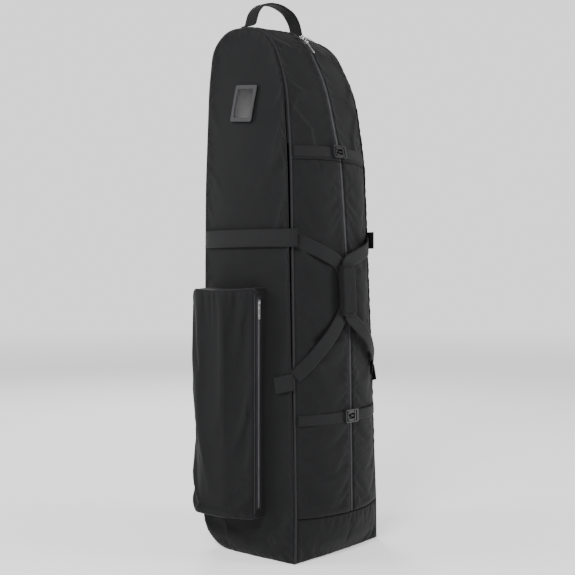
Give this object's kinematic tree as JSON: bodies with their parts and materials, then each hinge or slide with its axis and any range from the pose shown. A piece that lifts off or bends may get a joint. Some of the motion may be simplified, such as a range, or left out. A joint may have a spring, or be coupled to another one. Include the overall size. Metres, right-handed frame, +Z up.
{
  "type": "wheeled golf travel bag",
  "caption": "Soft upright travel bag for golf clubs with a domed hood, split front flaps on a zipper, side pockets, carry loops, top handle and corner wheels.",
  "frame": {"origin": "middle of the overall box, at floor level", "axes": "+Z up the bag, -Y the zipped front, +Y the wheeled back, X across the width"},
  "size_m": [0.472, 0.3729, 1.3303],
  "materials": {
    "woven_polyester": "matte",
    "coated_polyester": "satin",
    "webbing": "matte",
    "piping": "satin",
    "foam_padding": "matte",
    "stiffener_board": "matte",
    "zipper_tape": "matte",
    "zinc_pull": "satin",
    "moulded_black": "matte",
    "bright_steel": "satin",
    "urethane_tyre": "gloss",
    "hub_plastic": "satin",
    "acetal": "satin",
    "grip_fabric": "matte",
    "window_binding": "satin",
    "clear_film": "gloss"
  },
  "bodies": {
    "bag": {"side_panel_left": "woven_polyester", "side_panel_right": "woven_polyester", "hood_left": "woven_polyester", "hood_right": "woven_polyester", "hood_padding": "foam_padding", "front_base_band": "woven_polyester", "upper_back_panel": "woven_polyester", "middle_back_panel": "woven_polyester", "lower_back_panel": "coated_polyester", "base_panel": "woven_polyester", "base_board": "stiffener_board", "back_board": "stiffener_board", "seam_piping": "piping", "hood_zipper": "zipper_tape", "pocket_left": "woven_polyester", "pocket_right": "woven_polyester", "pocket_zipper_left": "zipper_tape", "pocket_zipper_right": "zipper_tape", "wheel_housing_left": "moulded_black", "wheel_housing_right": "moulded_black", "housing_rivets": "bright_steel", "wheel_axles": "bright_steel", "skid_rails": "moulded_black", "rail_screws": "bright_steel", "handle_anchors": "webbing", "side_webbing": "webbing", "id_window_frame": "window_binding", "id_window_film": "clear_film", "strap_left_upper": "webbing", "strap_right_upper": "webbing", "buckle_female_upper": "acetal"},
    "flap_left": {"front_flap_left": "woven_polyester", "flap_zipper_left": "zipper_tape", "strap_left_lower": "webbing", "buckle_female_lower": "acetal", "carry_loop_left": "webbing"},
    "flap_right": {"front_flap_right": "woven_polyester", "flap_zipper_right": "zipper_tape", "strap_right_lower": "webbing", "carry_loop_right": "webbing", "grip": "grip_fabric"},
    "grip_cover": {"grip_flap": "grip_fabric"},
    "slider_lower": {"main_slider_lower": "zinc_pull"},
    "puller_lower": {"main_puller_lower": "zinc_pull"},
    "slider_upper": {"main_slider_upper": "zinc_pull"},
    "puller_upper": {"main_puller_upper": "zinc_pull"},
    "pocket_slider_l": {"pocket_slider_left": "zinc_pull"},
    "pocket_puller_l": {"pocket_puller_left": "zinc_pull"},
    "pocket_slider_r": {"pocket_slider_right": "zinc_pull"},
    "pocket_puller_r": {"pocket_puller_right": "zinc_pull"},
    "wheel_l": {"tyre_left": "urethane_tyre", "wheel_hub_left": "hub_plastic", "wheel_bearings_left": "bright_steel"},
    "wheel_r": {"tyre_right": "urethane_tyre", "wheel_hub_right": "hub_plastic", "wheel_bearings_right": "bright_steel"},
    "handle": {"top_handle": "webbing"},
    "latch_upper": {"buckle_male_upper": "acetal"},
    "latch_lower": {"buckle_male_lower": "acetal"}
  },
  "joints": [
    {"name": "flap_left_hinge", "type": "hinge", "parent": "bag", "child": "flap_left", "pos_m": [-0.156, -0.12398, 0.1], "axis": [-0.0194, -0.0339, -0.9992], "range_deg": [0, 110]},
    {"name": "flap_right_hinge", "type": "hinge", "parent": "bag", "child": "flap_right", "pos_m": [0.156, -0.12398, 0.1], "axis": [-0.0194, 0.0339, 0.9992], "range_deg": [0, 110]},
    {"name": "grip_cover_hinge", "type": "hinge", "parent": "flap_right", "child": "grip_cover", "pos_m": [-0.04775, -0.17846, 0.62301], "axis": [-0.0017, -0.0519, -0.9987], "range_deg": [0, 120]},
    {"name": "main_slider_lower_travel", "type": "hinge", "parent": "bag", "child": "slider_lower", "pos_m": [0, 0.07029, 1.136], "axis": [1, 0, 0], "range_deg": [0, 15]},
    {"name": "main_puller_lower_swing", "type": "hinge", "parent": "slider_lower", "child": "puller_lower", "pos_m": [0, -0.02872, 1.22996], "axis": [-1, 0, 0], "range_deg": [0, 150]},
    {"name": "main_slider_upper_travel", "type": "hinge", "parent": "bag", "child": "slider_upper", "pos_m": [0, 0.07029, 1.136], "axis": [-1, 0, 0], "range_deg": [0, 7]},
    {"name": "main_puller_upper_swing", "type": "hinge", "parent": "slider_upper", "child": "puller_upper", "pos_m": [0, -0.01665, 1.24413], "axis": [0, -0.7793, -0.6266], "range_deg": [0, 170]},
    {"name": "pocket_zip_l", "type": "slide", "parent": "bag", "child": "pocket_slider_l", "axis": [0, 0, -1], "range_m": [0, 0.46]},
    {"name": "pocket_puller_l_swing", "type": "hinge", "parent": "pocket_slider_l", "child": "pocket_puller_l", "pos_m": [-0.193, -0.04498, 0.597], "axis": [-1, 0, 0], "range_deg": [0, 150]},
    {"name": "pocket_zip_r", "type": "slide", "parent": "bag", "child": "pocket_slider_r", "axis": [0, 0, -1], "range_m": [0, 0.46]},
    {"name": "pocket_puller_r_swing", "type": "hinge", "parent": "pocket_slider_r", "child": "pocket_puller_r", "pos_m": [0.193, -0.04498, 0.597], "axis": [-1, 0, 0], "range_deg": [0, 150]},
    {"name": "wheel_l_spin", "type": "hinge", "parent": "bag", "child": "wheel_l", "pos_m": [-0.101, 0.14302, 0.032], "axis": [1, 0, 0], "continuous": true},
    {"name": "wheel_r_spin", "type": "hinge", "parent": "bag", "child": "wheel_r", "pos_m": [0.101, 0.14302, 0.032], "axis": [1, 0, 0], "continuous": true},
    {"name": "handle_fold", "type": "hinge", "parent": "bag", "child": "handle", "pos_m": [0, 0.07502, 1.275], "axis": [1, 0, 0], "range_deg": [-40, 40]},
    {"name": "latch_upper_release", "type": "slide", "parent": "bag", "child": "latch_upper", "axis": [1, 0, 0], "range_m": [0, 0.022]},
    {"name": "latch_lower_release", "type": "slide", "parent": "flap_right", "child": "latch_lower", "axis": [1, 0, 0], "range_m": [0, 0.022]}
  ],
  "couplings": [
    {"joint": "flap_right_hinge", "follows": "flap_left_hinge", "ratio": 1}
  ]
}
